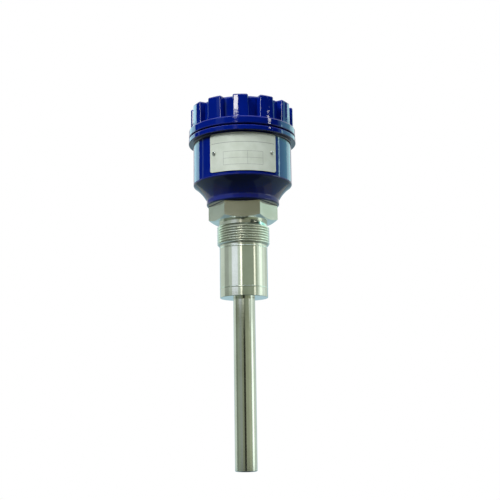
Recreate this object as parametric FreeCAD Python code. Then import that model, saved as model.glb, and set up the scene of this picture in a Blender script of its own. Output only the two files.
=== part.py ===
import FreeCAD, Part

import math
import os

vec = FreeCAD.Vector

# A vibrating rod level switch, in millimetres. The Z axis is the instrument's own axis and z = 0 is the
# underside of the hexagon, where the process flange seals. The nameplate faces -Y, the cable entries +Y.

# How far a cutting shape runs past the face that it cuts
past = 1.0

# Process connection: hexagon, pipe thread and the plain end that the sensor tube is welded to
hex_flats = 55.0
hex_height = 15.5
hex_turn = -2.4
hex_bevel_angle = 30.0
thread_diameter = 47.8
thread_length = 22.0
thread_lead_in = 1.5
relief_diameter = 44.5
relief_length = 4.0
weld_spigot = 2.5
register_length = 4.0
register_wall = 4.2
connection_bore_height = 6.0

# Neck through the housing floor, with its O-ring and lock nut
neck_diameter = 30.0
neck_wall = 5.0
neck_over_nut = 2.0
neck_chamfer = 1.0
neck_ring_section = 2.0
neck_groove_squeeze = 0.05
neck_groove_width = 2.7
neck_ring_height = 4.5
lock_nut_wall = 5.5
lock_nut_height = 7.0
lock_nut_bevel = 1.5
lock_nut_room = 3.83

# Sensor tube, sensor head and rod
tube_diameter = 43.5
tube_wall = 2.5
tube_length = 36.6
weld_seam = 0.15
head_height = 8.4
head_wall = 5.0
head_edge = 0.5
head_inner_round = 1.5
diaphragm = 1.5
head_hub_diameter = 18.0
head_hub_height = 5.5
rod_diameter = 19.8
rod_wall = 2.0
rod_length = 152.6
rod_root_gap = 0.1
end_plug_height = 2.2
end_plug_spigot = 4.0
end_plug_edge = 1.0
inner_rod_diameter = 8.0
inner_rod_edge = 0.8
inner_rod_end_gap = 8.0

# Piezo drive, stacked on a tension bolt above the diaphragm
bolt_diameter = 6.0
bolt_floor = 2.5
bolt_over_nut = 2.0
bolt_edge = 0.6
stack_diameter = 17.0
stack_clearance = 0.4
insulator_thickness = 1.0
electrode_thickness = 0.3
electrode_tab_reach = 5.0
electrode_tab_width = 3.0
piezo_thickness = 2.0
piezo_count = 4
pressure_plate_diameter = 18.0
pressure_plate_thickness = 4.0
spring_washer_diameter = 14.0
spring_washer_thickness = 1.0
spring_washer_rise = 0.5
clamp_nut_flats = 10.0
clamp_nut_height = 5.0
clamp_nut_bevel = 0.6
cable_diameter = 3.0
cable_neck_clearance = 2.5
cable_straight = 10.0
cable_bend = 20.0

# Cast housing; it is as wide as the electronics module that it holds
boss_height = 5.1
boss_edge = 1.5
flare_height = 13.9
flare_hollow = 2.1
flare_end_room = 1.2
flare_foot_round = 3.0
shoulder_round = 2.0
body_height = 39.3
housing_wall = 4.5
floor_thickness = 9.0
floor_margin = 5.95
floor_round = 4.0
cavity_corner_rise = 3.0
cavity_corner_round = 6.0
collar_step = 4.3
collar_height = 4.8
collar_edge = 0.8
collar_root = 0.8
rim_edge = 0.8
rim_wall = 8.6
mouth_chamfer = 0.8

# Screw lid with its castellated crown
lid_gap = 1.3
lid_inset = 0.25
lid_flange_height = 7.05
lid_flange_edge = 1.2
lid_flange_low_edge = 0.8
crown_height = 20.9
crown_core_edge = 2.0
crown_core_root = 1.5
lid_ceiling = 4.5
lid_recess_border = 8.25
lid_recess_depth = 0.8
lid_corner_round = 4.0
lug_count = 12
lug_inset = 1.8
lug_rise = 5.55
lug_width = 14.4
lug_draft = 1.8
lug_edge_round = 1.5
lug_foot_round = 2.2
lug_turn = -2.4
lid_thread_clearance = 0.3
lid_thread_length = 10.0
lid_thread_end_gap = 1.0
lid_thread_lead_in = 1.0
lid_spigot_wall = 3.1
seal_section = 2.6
seal_clearance = 0.05

# Nameplate and its rivets
plate_length = 63.3
plate_over_shoulder = 3.35
plate_under_collar = 0.9
plate_thickness = 0.5
plate_corner = 2.0
plate_clearance = 0.05
rivet_inset = 4.25
rivet_head_diameter = 3.8
rivet_head_height = 1.1
rivet_head_round = 0.9
rivet_shank_diameter = 2.6
rivet_shank_length = 3.5
rivet_clearance = 0.05

# Two cable entries at the back, one with a gland and one plugged
entry_over_shoulder = 21.5
entry_over_collar = 1.5
entry_boss_diameter = 30.0
entry_boss_gap = 5.0
entry_boss_edge = 1.0
entry_thread_diameter = 20.0
entry_thread_length = 9.0
entry_thread_lead_in = 1.0
entry_clearance = 0.05
gasket_diameter = 25.0
gasket_thickness = 1.5
gland_cable_bore = 9.0
gland_insert_wall = 3.0
gland_insert_depth = 8.0
gland_insert_height = 10.5
gland_bore_room = 1.5
gland_neck_wall = 1.45
gland_neck_height = 9.5
gland_nut_wall = 3.0
gland_hex_height = 5.0
gland_cap_height = 15.5
gland_cap_skirt_gap = 1.0
gland_cap_flats_height = 9.3
gland_cap_round = 4.65
gland_cap_lip = 3.25
gland_cap_edge = 1.0
gland_cap_mouth_room = 1.75
plug_flange_height = 3.0
plug_flange_edge = 0.8
plug_flats = 17.0
plug_hex_height = 5.0
plug_bore = 13.0
plug_bore_depth = 6.0
hex_head_bevel = 1.0

# External earth terminal between the entries
earth_over_shoulder = 5.5
earth_pad_rise = 3.3
earth_pad_diameter = 14.0
earth_thread_diameter = 5.0
earth_thread_depth = 6.0
earth_head_diameter = 8.4
earth_head_height = 3.2
earth_head_edge = 1.0
earth_end_gap = 0.5
earth_end_edge = 0.5
earth_slot_width = 1.2
earth_slot_depth = 1.5
earth_clamp_room = 0.5
earth_clamp_length = 10.0
earth_clamp_thickness = 1.2
earth_clamp_lip = 3.0
screw_clearance = 0.05

# Electronics module on three cast posts
post_inset = 5.0
post_diameter = 8.0
post_first_angle = -90.0
cup_over_shoulder = 3.5
cup_clearance = 2.55
cup_height = 9.6
cup_wall = 2.0
cup_edge = 1.5
board_thickness = 1.6
board_clearance = 0.3
board_margin = 1.144
module_screw_diameter = 4.0
module_screw_grip = 6.0
module_screw_end_edge = 0.4
module_screw_head_diameter = 7.0
module_screw_head_height = 2.6
module_screw_head_edge = 1.0
module_screw_slot_length = 4.2
module_screw_slot_width = 1.0
module_screw_slot_depth = 1.3
cable_hole_clearance = 0.3

# Parts on the circuit board
terminal_pitch = 5.08
terminal_ways = 4
terminal_depth = 10.0
terminal_height = 14.0
terminal_step = 5.0
terminal_gap = 5.68
terminal_screw_diameter = 3.4
terminal_screw_sink = 1.0
terminal_screw_length = 3.0
terminal_slot_width = 0.7
terminal_slot_depth = 0.8
wire_hole = 3.2
wire_hole_rise = 3.5
wire_hole_depth = 6.0
row_gap = 3.0
parts_gap = 5.9
relay_width = 19.2
relay_depth = 15.5
relay_height = 15.5
relay_edge = 0.6
core_width = 20.0
core_depth = 18.0
core_height = 16.0
core_leg = 4.0
coil_height = 8.0
coil_overhang = 0.5
edge_gap = 2.84
trimmer_size = 7.0
trimmer_height = 5.0
trimmer_y = 3.0
trimmer_rotor_diameter = 4.6
trimmer_rotor_height = 1.2
trimmer_seat_depth = 0.8
trimmer_clearance = 0.1
trimmer_slot_width = 0.8
trimmer_slot_depth = 0.7
switch_length = 9.0
switch_width = 4.4
switch_height = 4.5
switch_y = 2.0
switch_travel = 2.0
switch_knob = 2.0
switch_knob_height = 2.5
switch_slot_depth = 1.5
switch_clearance = 0.1
led_diameter = 3.0
led_flange = 3.8
led_flange_height = 0.8
led_height = 4.5
led_crown = 0.1
led_y = -8.0

# Places on the board, and the radius that holds them all
terminal_offset = terminal_pitch * terminal_ways / 2 + terminal_gap / 2
relay_size = (relay_width, relay_depth, relay_height)
relay_place = (-parts_gap / 2 - relay_width / 2, -terminal_depth / 2 - row_gap - relay_depth / 2)
core_size = (core_width, core_depth, core_height)
core_place = (parts_gap / 2 + core_width / 2, -terminal_depth / 2 - row_gap - coil_overhang - core_depth / 2)
edge_x = terminal_offset + terminal_pitch * terminal_ways / 2 + edge_gap + trimmer_size / 2
core_reach = math.hypot(core_place[0] + core_width / 2, core_place[1] - core_depth / 2)
edge_reach = math.hypot(edge_x + trimmer_size / 2, trimmer_y + trimmer_size / 2)
board_radius = max(core_reach, edge_reach) + board_margin
trimmer_place = (-edge_x, trimmer_y)
switch_place = (edge_x, switch_y)
led_places = ((-edge_x, led_y), (edge_x, led_y))

# Radii of the module, the housing and the lid, from the inside outwards
cup_radius = board_radius + board_clearance + cup_wall
post_circle = cup_radius - post_inset
cavity_radius = cup_radius + cup_clearance
body_radius = cavity_radius + housing_wall
collar_radius = body_radius + collar_step
lid_radius = collar_radius - lid_inset
lug_radius = lid_radius - lug_inset
crown_core_radius = lug_radius - lug_rise
lid_recess_radius = crown_core_radius - lid_recess_border
mouth_radius = collar_radius - rim_wall
lid_thread_radius = mouth_radius - lid_thread_clearance

# Widths that the neck and the sensor tube lead to
lock_nut_flats = neck_diameter + 2 * lock_nut_wall
floor_radius = lock_nut_flats / math.sqrt(3) + lock_nut_room
boss_radius = floor_radius + floor_margin
neck_bore = neck_diameter - 2 * neck_wall
cable_neck_offset = neck_bore / 2 - cable_diameter / 2 - cable_neck_clearance
register_radius = tube_diameter / 2 - tube_wall - screw_clearance
connection_bore = 2 * (register_radius - register_wall)

# The cable gland, from the cable outwards
gland_bore = gland_cable_bore + 2 * gland_bore_room
gland_insert_diameter = gland_cable_bore + 2 * gland_insert_wall
gland_neck_diameter = gland_insert_diameter + 2 * entry_clearance + 2 * gland_neck_wall
gland_flats = gland_neck_diameter + 2 * gland_nut_wall
gland_cap_mouth = gland_cable_bore + 2 * gland_cap_mouth_room
gland_cap_top_diameter = gland_cap_mouth + 2 * gland_cap_lip

# Places of the entries and the earth terminal
entry_offset = entry_boss_diameter / 2 + entry_boss_gap / 2
entry_face = collar_radius + entry_over_collar
earth_face = body_radius + earth_pad_rise
earth_clamp_width = earth_head_diameter + 2 * earth_clamp_room + 2 * earth_clamp_thickness

# Heights along the axis, up and down from the sealing face
thread_end_z = -thread_length
tube_top_z = thread_end_z - weld_spigot
tube_end_z = tube_top_z - tube_length
head_end_z = tube_end_z - head_height
rod_top_z = head_end_z - rod_root_gap
rod_end_z = rod_top_z - rod_length
hub_z = hex_height
boss_top_z = hub_z + boss_height
shoulder_z = boss_top_z + flare_height
collar_z = shoulder_z + body_height
rim_z = collar_z + collar_height
floor_z = hub_z + floor_thickness
lid_z = rim_z + lid_gap
crown_z = lid_z + lid_flange_height
lid_top_z = crown_z + crown_height
cup_z = shoulder_z + cup_over_shoulder
board_z = cup_z + cup_height - board_thickness
board_top_z = board_z + board_thickness
entry_z = shoulder_z + entry_over_shoulder
earth_z = shoulder_z + earth_over_shoulder
plate_z = shoulder_z + plate_over_shoulder
plate_top_z = collar_z - plate_under_collar
rivet_z = (plate_z + plate_top_z) / 2
neck_top_z = floor_z + lock_nut_height + neck_over_nut
post_angles = [post_first_angle + 120 * k for k in range(3)]


def rounded_edges(points, closed=True):
    """Join (x, z) corners with straight edges; a corner's third value rounds it with a tangent arc."""
    corners = [vec(p[0], 0, p[1]) for p in points]
    count = len(corners)
    arcs = []
    for i, point in enumerate(points):
        here = corners[i]
        if len(point) < 3:
            arcs.append((here, here, None))
            continue
        back = (corners[i - 1] - here).normalize()
        ahead = (corners[(i + 1) % count] - here).normalize()
        half = back.getAngle(ahead) / 2
        trim = point[2] / math.tan(half)
        middle = here + (back + ahead).normalize() * (point[2] / math.sin(half) - point[2])
        arc = Part.Arc(here + back * trim, middle, here + ahead * trim).toShape()
        arcs.append((here + back * trim, here + ahead * trim, arc))
    edges = []
    for i in range(count):
        if arcs[i][2]:
            edges.append(arcs[i][2])
        if i == count - 1 and not closed:
            break
        start, end = arcs[i][1], arcs[(i + 1) % count][0]
        if start.distanceToPoint(end) > 1e-6:
            edges.append(Part.makeLine(start, end))
    return edges


def outline(points):
    return Part.Face(Part.Wire(rounded_edges(points)))


def turned(points):
    """Spin a closed outline of (radius, z) corners about the Z axis."""
    return outline(points).revolve(vec(0, 0, 0), vec(0, 0, 1), 360)


def pulled(points, near, far):
    """Extrude an outline that faces -Y, from the distance near to the distance far in front of the axis."""
    face = outline(points)
    face.translate(vec(0, -near, 0))
    return face.extrude(vec(0, near - far, 0))


def tube(outer, inner, low, high):
    return turned([(inner, low), (outer, low), (outer, high), (inner, high)])


def cylinder(radius, low, high):
    return Part.makeCylinder(radius, high - low, vec(0, 0, low))


def block(size, centre, low, high):
    corner = vec(centre[0] - size[0] / 2, centre[1] - size[1] / 2, low)
    return Part.makeBox(size[0], size[1], high - low, corner)


def hex_prism(flats, low, high):
    """A hexagon standing on Z, with two of its flats facing along Y."""
    corner = flats / math.sqrt(3)
    angles = [math.radians(60 * k) for k in range(7)]
    ring = [vec(corner * math.cos(a), corner * math.sin(a), low) for a in angles]
    return Part.Face(Part.makePolygon(ring)).extrude(vec(0, 0, high - low))


def beveled_hex(flats, low, high, bevel):
    """A hexagon whose upper corners are turned off to a cone."""
    corner = flats / math.sqrt(3)
    cone = turned([
        (0, low),
        (corner, low),
        (corner, high - bevel),
        (flats / 2 - bevel / 2, high),
        (0, high),
    ])
    return hex_prism(flats, low, high).common(cone)


def spun(shape, angle):
    copy = shape.copy()
    copy.rotate(vec(0, 0, 0), vec(0, 0, 1), angle)
    return copy


def facing_front(shape, height, angle=0):
    """Lay a shape that was built along +Z so that it points along -Y, turned about the axis."""
    copy = shape.copy()
    copy.rotate(vec(0, 0, 0), vec(1, 0, 0), 90)
    copy.translate(vec(0, 0, height))
    return spun(copy, angle)


def facing_back(shape, x, height, distance=0):
    """Lay a shape that was built along +Z so that it points along +Y."""
    copy = shape.copy()
    copy.rotate(vec(0, 0, 0), vec(1, 0, 0), -90)
    copy.translate(vec(x, distance, height))
    return copy


def write(name, solids):
    shape = solids[0] if len(solids) == 1 else Part.makeCompound(solids)
    shape.exportStep(os.path.join("parts", name + ".step"))


# Process connection and sensor

def process_connection():
    """Hexagon, pipe thread blank, welded end and neck, turned from one bar."""
    corner = hex_flats / math.sqrt(3)
    bevel = (corner - hex_flats / 2) * math.tan(math.radians(hex_bevel_angle))
    crest = thread_diameter / 2
    relief = relief_diameter / 2
    spigot = tube_diameter / 2
    neck = neck_diameter / 2
    groove_low = hub_z + neck_ring_height - neck_groove_width / 2
    groove_floor = neck - neck_ring_section + neck_groove_squeeze
    stem = turned([
        (connection_bore / 2, tube_top_z - register_length),
        (register_radius, tube_top_z - register_length),
        (register_radius, tube_top_z),
        (spigot - weld_seam, tube_top_z),
        (spigot, tube_top_z + weld_seam),
        (spigot, thread_end_z),
        (crest - thread_lead_in, thread_end_z),
        (crest, thread_end_z + thread_lead_in),
        (crest, -relief_length - (crest - relief) / 2),
        (relief, -relief_length),
        (relief, 0),
        (relief, hub_z),
        (neck, hub_z),
        (neck, groove_low),
        (groove_floor, groove_low),
        (groove_floor, groove_low + neck_groove_width),
        (neck, groove_low + neck_groove_width),
        (neck, neck_top_z - neck_chamfer),
        (neck - neck_chamfer, neck_top_z),
        (neck_bore / 2, neck_top_z),
        (neck_bore / 2, connection_bore_height),
        (connection_bore / 2, connection_bore_height),
    ])
    collar = turned([
        (connection_bore / 2 + past, 0),
        (hex_flats / 2, 0),
        (corner, bevel),
        (corner, hub_z),
        (connection_bore / 2 + past, hub_z),
    ])
    wrench_faces = spun(hex_prism(hex_flats, 0, hub_z), hex_turn)
    return stem.fuse(collar.common(wrench_faces)).removeSplitter()


def neck_seal():
    section = neck_ring_section / 2 - neck_groove_squeeze / 2
    centre = neck_diameter / 2 - neck_ring_section / 2 + neck_groove_squeeze
    return Part.makeTorus(centre, section, vec(0, 0, hub_z + neck_ring_height))


def neck_lock_nut():
    nut = beveled_hex(lock_nut_flats, floor_z, floor_z + lock_nut_height, lock_nut_bevel)
    return nut.cut(cylinder(neck_diameter / 2 + screw_clearance, floor_z - past, neck_top_z + past))


def sensor_tube():
    outer = tube_diameter / 2
    return turned([
        (outer - tube_wall, tube_end_z),
        (outer - weld_seam, tube_end_z),
        (outer, tube_end_z + weld_seam),
        (outer, tube_top_z - weld_seam),
        (outer - weld_seam, tube_top_z),
        (outer - tube_wall, tube_top_z),
    ])


def sensor_head():
    """Ring, thin diaphragm and central hub in one piece; the hub takes the tension bolt."""
    outer = tube_diameter / 2
    inside = outer - head_wall
    skin = head_end_z + diaphragm
    hub = head_hub_diameter / 2
    hole = bolt_diameter / 2 + screw_clearance
    return turned([
        (0, head_end_z),
        (outer, head_end_z, head_edge),
        (outer, tube_end_z - weld_seam),
        (outer - weld_seam, tube_end_z),
        (register_radius, tube_end_z),
        (register_radius, tube_end_z + register_length),
        (inside, tube_end_z + register_length),
        (inside, skin, head_inner_round),
        (hub, skin, head_inner_round),
        (hub, skin + head_hub_height),
        (hole, skin + head_hub_height),
        (hole, head_end_z + bolt_floor),
        (0, head_end_z + bolt_floor),
    ])


def vibrating_rod():
    outer = rod_diameter / 2
    low = rod_end_z + end_plug_height
    return turned([
        (outer - rod_wall, low),
        (outer - weld_seam, low),
        (outer, low + weld_seam),
        (outer, rod_top_z),
        (outer - rod_wall, rod_top_z),
    ])


def rod_end_plug():
    outer = rod_diameter / 2
    top = rod_end_z + end_plug_height
    spigot = outer - rod_wall - screw_clearance
    return turned([
        (0, rod_end_z),
        (outer, rod_end_z, end_plug_edge),
        (outer, top - weld_seam),
        (outer - weld_seam, top),
        (spigot, top),
        (spigot, top + end_plug_spigot),
        (0, top + end_plug_spigot),
    ])


def inner_rod():
    low = rod_end_z + end_plug_height + end_plug_spigot + inner_rod_end_gap
    return turned([
        (0, low),
        (inner_rod_diameter / 2, low, inner_rod_edge),
        (inner_rod_diameter / 2, rod_top_z),
        (0, rod_top_z),
    ])


# Piezo drive

def stack_ring(low, thickness, diameter=stack_diameter):
    return tube(diameter / 2, bolt_diameter / 2 + stack_clearance, low, low + thickness)


def electrode(low, angle):
    """A contact ring with one solder tab."""
    reach = stack_diameter / 2 + electrode_tab_reach
    tab = block((reach, electrode_tab_width), (reach / 2, 0), low, low + electrode_thickness)
    tab = tab.cut(cylinder(stack_diameter / 2 - past, low - past, low + electrode_thickness + past))
    return stack_ring(low, electrode_thickness).fuse(spun(tab, angle)).removeSplitter()


def piezo_stack():
    """Everything that the tension bolt clamps, from the hub upwards, and the heights of its two ends."""
    insulators, electrodes, discs = [], [], []
    z = head_end_z + diaphragm + head_hub_height
    insulators.append(stack_ring(z, insulator_thickness))
    z += insulator_thickness
    for k in range(piezo_count):
        electrodes.append(electrode(z, 180 * ((piezo_count - k) % 2)))
        z += electrode_thickness
        discs.append(stack_ring(z, piezo_thickness))
        z += piezo_thickness
    electrodes.append(electrode(z, 0))
    z += electrode_thickness
    tab_z = z
    insulators.append(stack_ring(z, insulator_thickness))
    z += insulator_thickness
    plate = stack_ring(z, pressure_plate_thickness, pressure_plate_diameter)
    z += pressure_plate_thickness
    inner = bolt_diameter / 2 + stack_clearance
    outer = spring_washer_diameter / 2
    rise = spring_washer_rise
    washer = turned([
        (outer, z),
        (outer, z + spring_washer_thickness),
        (inner, z + spring_washer_thickness + rise),
        (inner, z + rise),
    ])
    z += spring_washer_thickness + rise
    nut = beveled_hex(clamp_nut_flats, z, z + clamp_nut_height, clamp_nut_bevel)
    nut = nut.cut(cylinder(bolt_diameter / 2 + screw_clearance, z - past, z + clamp_nut_height + past))
    z += clamp_nut_height
    bolt = turned([
        (0, head_end_z + bolt_floor),
        (bolt_diameter / 2, head_end_z + bolt_floor, bolt_edge),
        (bolt_diameter / 2, z + bolt_over_nut, bolt_edge),
        (0, z + bolt_over_nut),
    ])
    return insulators, electrodes, discs, plate, washer, nut, bolt, tab_z


def signal_cable(low):
    """From the uppermost solder tab through the neck to the underside of the circuit board."""
    x = stack_diameter / 2 + electrode_tab_reach - cable_diameter / 2
    path = [
        (x, low),
        (x, tube_top_z - register_length - cable_straight, cable_bend),
        (cable_neck_offset, connection_bore_height, cable_bend),
        (cable_neck_offset, board_z),
    ]
    wire = Part.Wire(rounded_edges(path, closed=False))
    section = Part.Wire(Part.makeCircle(cable_diameter / 2, vec(x, 0, low), vec(0, 0, 1)))
    return wire.makePipeShell([section], True, False)


# Housing

def flare_corner():
    """The point whose rounding makes the hollow flare between the boss and the body."""
    run = body_radius - boss_radius
    length = math.hypot(run, flare_height)
    side = math.hypot(length / 2, flare_hollow)
    radius = (side - flare_end_room) / (flare_hollow / (length / 2))
    r = boss_radius + run / 2 - flare_hollow * flare_height / length
    z = boss_top_z + flare_height / 2 + flare_hollow * run / length
    return r, z, radius


def housing():
    """One casting: hub, flare, body, collar, entry bosses, earth pad and the posts for the module."""
    hub_bore = neck_diameter / 2 + screw_clearance
    solid = turned([
        (0, hub_z),
        (boss_radius, hub_z, boss_edge),
        (boss_radius, boss_top_z, flare_foot_round),
        flare_corner(),
        (body_radius, shoulder_z, shoulder_round),
        (body_radius, collar_z, collar_root),
        (collar_radius, collar_z, collar_edge),
        (collar_radius, rim_z, rim_edge),
        (0, rim_z),
    ])
    boss = turned([
        (0, body_radius / 2),
        (entry_boss_diameter / 2, body_radius / 2),
        (entry_boss_diameter / 2, entry_face, entry_boss_edge),
        (0, entry_face),
    ])
    pad = cylinder(earth_pad_diameter / 2, body_radius / 2, earth_face)
    solid = solid.fuse([
        facing_back(boss, entry_offset, entry_z),
        facing_back(boss, -entry_offset, entry_z),
        facing_back(pad, 0, earth_z),
    ])
    thread_foot = lid_z - lid_thread_length - lid_thread_end_gap
    step = abs(mouth_radius - cavity_radius)
    cavity = turned([
        (0, floor_z),
        (floor_radius, floor_z, floor_round),
        (cavity_radius, shoulder_z + cavity_corner_rise, cavity_corner_round),
        (cavity_radius, thread_foot - step),
        (mouth_radius, thread_foot),
        (mouth_radius, rim_z - mouth_chamfer),
        (mouth_radius + mouth_chamfer, rim_z),
        (mouth_radius + mouth_chamfer, rim_z + past),
        (0, rim_z + past),
    ])
    post = cylinder(post_diameter / 2, hub_z, cup_z)
    post.translate(vec(post_circle, 0, 0))
    posts = [spun(post, angle).common(solid) for angle in post_angles]
    shell = solid.cut(cavity).fuse(posts)
    tap = cylinder(module_screw_diameter / 2, cup_z - module_screw_grip - past, cup_z + past)
    tap.translate(vec(post_circle, 0, 0))
    entry_hole = cylinder(entry_thread_diameter / 2, body_radius / 2, entry_face + past)
    earth_hole = cylinder(earth_thread_diameter / 2, earth_face - earth_thread_depth, earth_face + past)
    rivet_hole = cylinder(
        rivet_shank_diameter / 2 + rivet_clearance, body_radius - rivet_shank_length, body_radius + past
    )
    holes = [cylinder(hub_bore, hub_z - past, floor_z + past)]
    holes += [spun(tap, angle) for angle in post_angles]
    holes += [facing_back(entry_hole, x, entry_z) for x in (entry_offset, -entry_offset)]
    holes.append(facing_back(earth_hole, 0, earth_z))
    holes += [facing_front(rivet_hole, rivet_z, angle) for angle in rivet_angles()]
    return shell.cut(holes).removeSplitter()


# Lid

def lug():
    """One castellation: drafted sides, rounded edges, and a rounded foot between it and the flange."""
    slope = math.tan(math.radians(lug_draft))
    middle_z = (crown_z + lid_top_z) / 2
    root_z = crown_z - lid_flange_height / 2
    foot_z = crown_z + 2 * lug_foot_round
    inside = (lid_thread_radius - lid_spigot_wall + crown_core_radius) / 2

    def half_width(z):
        return lug_width / 2 + (middle_z - z) * slope

    sides = pulled([
        (-half_width(root_z), root_z),
        (half_width(root_z), root_z),
        (half_width(lid_top_z), lid_top_z),
        (-half_width(lid_top_z), lid_top_z),
    ], inside, lug_radius + past)
    block_shape = sides.common(tube(lug_radius, inside - past, root_z, lid_top_z)).Solids[0]
    rounded = block_shape.makeFillet(lug_edge_round, outer_edges(block_shape))
    base = half_width(crown_z)
    foot = pulled([
        (-base - 2 * lug_foot_round, root_z),
        (base + 2 * lug_foot_round, root_z),
        (base + 2 * lug_foot_round, crown_z),
        (base, crown_z, lug_foot_round),
        (half_width(foot_z), foot_z),
        (-half_width(foot_z), foot_z),
        (-base, crown_z, lug_foot_round),
        (-base - 2 * lug_foot_round, crown_z),
    ], inside, lug_radius)
    return rounded.fuse(foot.common(tube(lug_radius - lug_edge_round, inside - past, root_z, foot_z)))


def outer_edges(lug_shape):
    """The lug's edges that a hand can reach: both outer corners and the three sides of its top."""
    found = []
    for edge in lug_shape.Edges:
        ends = [v.Point for v in edge.Vertexes]
        outer = [math.hypot(p.x, p.y) > lug_radius - 0.01 for p in ends]
        top = [p.z > lid_top_z - 0.01 for p in ends]
        if (all(outer) and any(top)) or (all(top) and any(outer)):
            found.append(edge)
    return found


def lid():
    bore = lid_thread_radius - lid_spigot_wall
    thread_low = lid_z - lid_thread_length
    groove_top = rim_z + seal_section + 2 * seal_clearance
    groove_outer = lid_thread_radius + seal_section + 3 * seal_clearance
    body = turned([
        (bore, thread_low),
        (lid_thread_radius - lid_thread_lead_in, thread_low),
        (lid_thread_radius, thread_low + lid_thread_lead_in),
        (lid_thread_radius, groove_top),
        (groove_outer, groove_top),
        (groove_outer, lid_z),
        (lid_radius, lid_z, lid_flange_low_edge),
        (lid_radius, crown_z, lid_flange_edge),
        (crown_core_radius, crown_z, crown_core_root),
        (crown_core_radius, lid_top_z, crown_core_edge),
        (lid_recess_radius, lid_top_z),
        (lid_recess_radius - lid_recess_depth, lid_top_z - lid_recess_depth),
        (0, lid_top_z - lid_recess_depth),
        (0, lid_top_z - lid_ceiling),
        (bore, lid_top_z - lid_ceiling, lid_corner_round),
    ])
    one = lug()
    lugs = [spun(one, lug_turn + k * 360 / lug_count) for k in range(lug_count)]
    return body.fuse(lugs).removeSplitter()


def lid_seal():
    section = seal_section / 2
    centre = lid_thread_radius + seal_clearance + section
    return Part.makeTorus(centre, section, vec(0, 0, rim_z + seal_clearance + section))


# Nameplate

def rivet_angles():
    angle = math.degrees((plate_length / 2 - rivet_inset) / (body_radius + plate_thickness))
    return angle, -angle


def nameplate():
    """A rolled plate on the front of the body."""
    inner = body_radius + plate_clearance
    reach = inner * math.sin(plate_length / 2 / inner)
    sheet = tube(inner + plate_thickness, inner, plate_z - past, plate_top_z + past)
    blank = pulled([
        (-reach, plate_z, plate_corner),
        (reach, plate_z, plate_corner),
        (reach, plate_top_z, plate_corner),
        (-reach, plate_top_z, plate_corner),
    ], 0, inner + plate_thickness + past)
    hole = cylinder(rivet_shank_diameter / 2 + rivet_clearance, inner - past, inner + plate_thickness + past)
    return sheet.common(blank).cut([facing_front(hole, rivet_z, a) for a in rivet_angles()])


def nameplate_rivets():
    seat = body_radius + plate_clearance + plate_thickness
    rivet = turned([
        (0, body_radius - rivet_shank_length),
        (rivet_shank_diameter / 2, body_radius - rivet_shank_length),
        (rivet_shank_diameter / 2, seat),
        (rivet_head_diameter / 2, seat),
        (rivet_head_diameter / 2, seat + rivet_head_height, rivet_head_round),
        (0, seat + rivet_head_height),
    ])
    return [facing_front(rivet, rivet_z, angle) for angle in rivet_angles()]


# Cable gland and blanking plug, built along +Z with the entry face at z = 0

def entry_gasket():
    return tube(gasket_diameter / 2, entry_thread_diameter / 2 + entry_clearance, 0, gasket_thickness)


def gland_body():
    thread = entry_thread_diameter / 2 - entry_clearance
    hex_top = gasket_thickness + gland_hex_height
    neck_top = hex_top + gland_neck_height
    bore = gland_bore / 2
    seat = gland_insert_diameter / 2 + entry_clearance
    seat_z = neck_top - gland_insert_depth
    stem = turned([
        (bore, -entry_thread_length),
        (thread - entry_thread_lead_in, -entry_thread_length),
        (thread, entry_thread_lead_in - entry_thread_length),
        (thread, hex_top),
        (gland_neck_diameter / 2, hex_top),
        (gland_neck_diameter / 2, neck_top),
        (seat, neck_top),
        (seat, seat_z),
        (bore, seat_z),
    ])
    collar = beveled_hex(gland_flats, gasket_thickness, hex_top, hex_head_bevel)
    return stem.fuse(collar.cut(cylinder(bore + past, 0, hex_top + past))).removeSplitter()


def gland_insert():
    """The rubber ring that closes on the cable, tapered where the cap presses it."""
    low = gasket_thickness + gland_hex_height + gland_neck_height - gland_insert_depth
    high = low + gland_insert_height
    outer = gland_insert_diameter / 2
    hole = gland_cable_bore / 2
    return turned([
        (hole, low),
        (outer, low),
        (outer, low + gland_insert_depth),
        ((outer + hole) / 2, high),
        (hole, high),
    ])


def gland_cap():
    """The domed cap nut, screwed over the gland's neck until it bears on the insert."""
    low = gasket_thickness + gland_hex_height + gland_cap_skirt_gap
    high = low + gland_cap_height
    corner = gland_flats / math.sqrt(3)
    thread = gland_neck_diameter / 2 + entry_clearance
    neck_top = gasket_thickness + gland_hex_height + gland_neck_height
    outer = gland_insert_diameter / 2 + 3 * entry_clearance
    dome = turned([
        (gland_cap_mouth / 2, low),
        (corner, low),
        (corner, low + gland_cap_flats_height, gland_cap_round),
        (gland_cap_top_diameter / 2, high, gland_cap_edge),
        (gland_cap_mouth / 2, high),
    ])
    hollow = turned([
        (0, low - past),
        (thread, low - past),
        (thread, neck_top + 2 * entry_clearance),
        (outer, neck_top + 2 * entry_clearance),
        (gland_cap_mouth / 2, neck_top + gland_insert_height - gland_insert_depth + entry_clearance),
        (0, neck_top + gland_insert_height - gland_insert_depth + entry_clearance),
    ])
    return dome.common(hex_prism(gland_flats, low, high)).cut(hollow)


def blanking_plug():
    thread = entry_thread_diameter / 2 - entry_clearance
    flange_top = gasket_thickness + plug_flange_height
    stem = turned([
        (0, plug_bore_depth - entry_thread_length),
        (plug_bore / 2, plug_bore_depth - entry_thread_length),
        (plug_bore / 2, -entry_thread_length),
        (thread - entry_thread_lead_in, -entry_thread_length),
        (thread, entry_thread_lead_in - entry_thread_length),
        (thread, gasket_thickness),
        (gasket_diameter / 2, gasket_thickness),
        (gasket_diameter / 2, flange_top, plug_flange_edge),
        (0, flange_top),
    ])
    head = beveled_hex(plug_flats, flange_top, flange_top + plug_hex_height, hex_head_bevel)
    return stem.fuse(head).removeSplitter()


# Earth terminal, built along +Z with the pad's face at z = 0

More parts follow.
